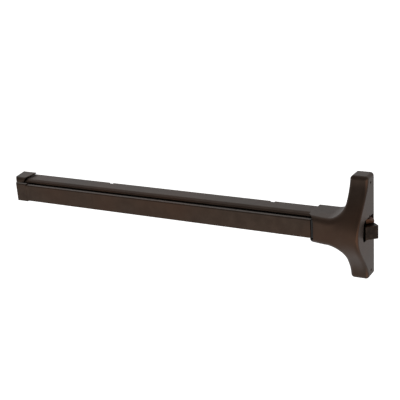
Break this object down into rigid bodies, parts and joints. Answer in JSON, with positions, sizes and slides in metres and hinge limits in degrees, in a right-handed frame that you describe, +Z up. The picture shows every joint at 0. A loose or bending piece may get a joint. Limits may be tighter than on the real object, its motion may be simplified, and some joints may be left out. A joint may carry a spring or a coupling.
{
  "type": "panic exit bar",
  "caption": "Touch-pad panic exit bar: long channel rail with a sliding push pad, an end cap, and a flared T-shaped latch case with a swinging latch and deadlatch.",
  "frame": {"origin": "middle of the chassis's back face, on the door plane, at the middle of the latch case", "axes": "+X along the bar towards the latch, +Y out of the back into the door, +Z up"},
  "size_m": [0.863, 0.091, 0.203],
  "materials": {
    "dark_bronze": "satin dark bronze",
    "latch_steel": "oil-rubbed dark bronze plate",
    "deadlatch_bronze": "worn bronze",
    "black_plastic": "moulded black",
    "zinc_steel": "zinc plated",
    "spring_steel": "bright drawn wire"
  },
  "bodies": {
    "frame": {"case_cover": "dark_bronze", "chassis": "zinc_steel", "cover_screw_upper": "zinc_steel", "cover_screw_lower": "zinc_steel", "latch_pin": "zinc_steel", "latch_pin_ring": "zinc_steel", "latch_spring": "spring_steel", "deadlatch_spring": "spring_steel", "rail": "dark_bronze", "end_cap": "dark_bronze", "end_bracket": "zinc_steel", "cap_screw_upper": "zinc_steel", "cap_screw_lower": "zinc_steel", "rail_screw_latch_upper": "zinc_steel", "rail_screw_latch_lower": "zinc_steel", "rail_screw_far_upper": "zinc_steel", "rail_screw_far_lower": "zinc_steel", "crank_bracket_latch": "zinc_steel", "crank_pin_latch": "zinc_steel", "return_spring_latch": "spring_steel", "bracket_screw_latch_upper": "zinc_steel", "bracket_screw_latch_lower": "zinc_steel", "crank_bracket_far": "zinc_steel", "crank_pin_far": "zinc_steel", "return_spring_far": "spring_steel", "bracket_screw_far_upper": "zinc_steel", "bracket_screw_far_lower": "zinc_steel"},
    "pad": {"push_pad": "dark_bronze", "pad_carrier": "black_plastic", "pad_plug_latch": "black_plastic", "pad_plug_far": "black_plastic", "pad_bracket_latch": "black_plastic", "pad_bracket_far": "black_plastic"},
    "crank_latch": {"bell_crank_latch": "zinc_steel", "link_pin_latch": "zinc_steel"},
    "crank_far": {"bell_crank_far": "zinc_steel", "link_pin_far": "zinc_steel"},
    "drive_bar": {"drive_bar": "zinc_steel"},
    "latch": {"latch_bolt": "latch_steel", "latch_tail_pin": "zinc_steel"},
    "deadlatch": {"deadlatch": "deadlatch_bronze"}
  },
  "joints": [
    {"name": "pad_press", "type": "slide", "parent": "frame", "child": "pad", "axis": [0, 1, 0], "range_m": [0, 0.012], "stiffness_N_per_m": 1500, "springref_m": -0.008, "deforming": ["return_spring_latch", "return_spring_far"]},
    {"name": "crank_latch_turn", "type": "hinge", "parent": "frame", "child": "crank_latch", "pos_m": [-0.1895, -0.014, 0], "axis": [0, 0, -1], "range_deg": [0, 28.65]},
    {"name": "crank_far_turn", "type": "hinge", "parent": "frame", "child": "crank_far", "pos_m": [-0.578, -0.014, 0], "axis": [0, 0, -1], "range_deg": [0, 28.65]},
    {"name": "drive_bar_pull", "type": "slide", "parent": "frame", "child": "drive_bar", "axis": [-1, 0, 0], "range_m": [0, 0.008]},
    {"name": "latch_swing", "type": "hinge", "parent": "frame", "child": "latch", "pos_m": [0, -0.02, 0], "axis": [0, 0, -1], "range_deg": [0, 52]},
    {"name": "deadlatch_swing", "type": "hinge", "parent": "frame", "child": "deadlatch", "pos_m": [0, -0.02, 0.015], "axis": [0, 0, -1], "range_deg": [0, 28], "stiffness_Nm_per_rad": 0.03, "springref_deg": -22.92}
  ],
  "couplings": [
    {"joint": "crank_latch_turn", "follows": "pad_press", "rad_per_m": 41.666},
    {"joint": "crank_far_turn", "follows": "pad_press", "rad_per_m": 41.666},
    {"joint": "drive_bar_pull", "follows": "pad_press", "ratio": 0.66666},
    {"joint": "latch_swing", "follows": "pad_press", "rad_per_m": 75.63}
  ]
}
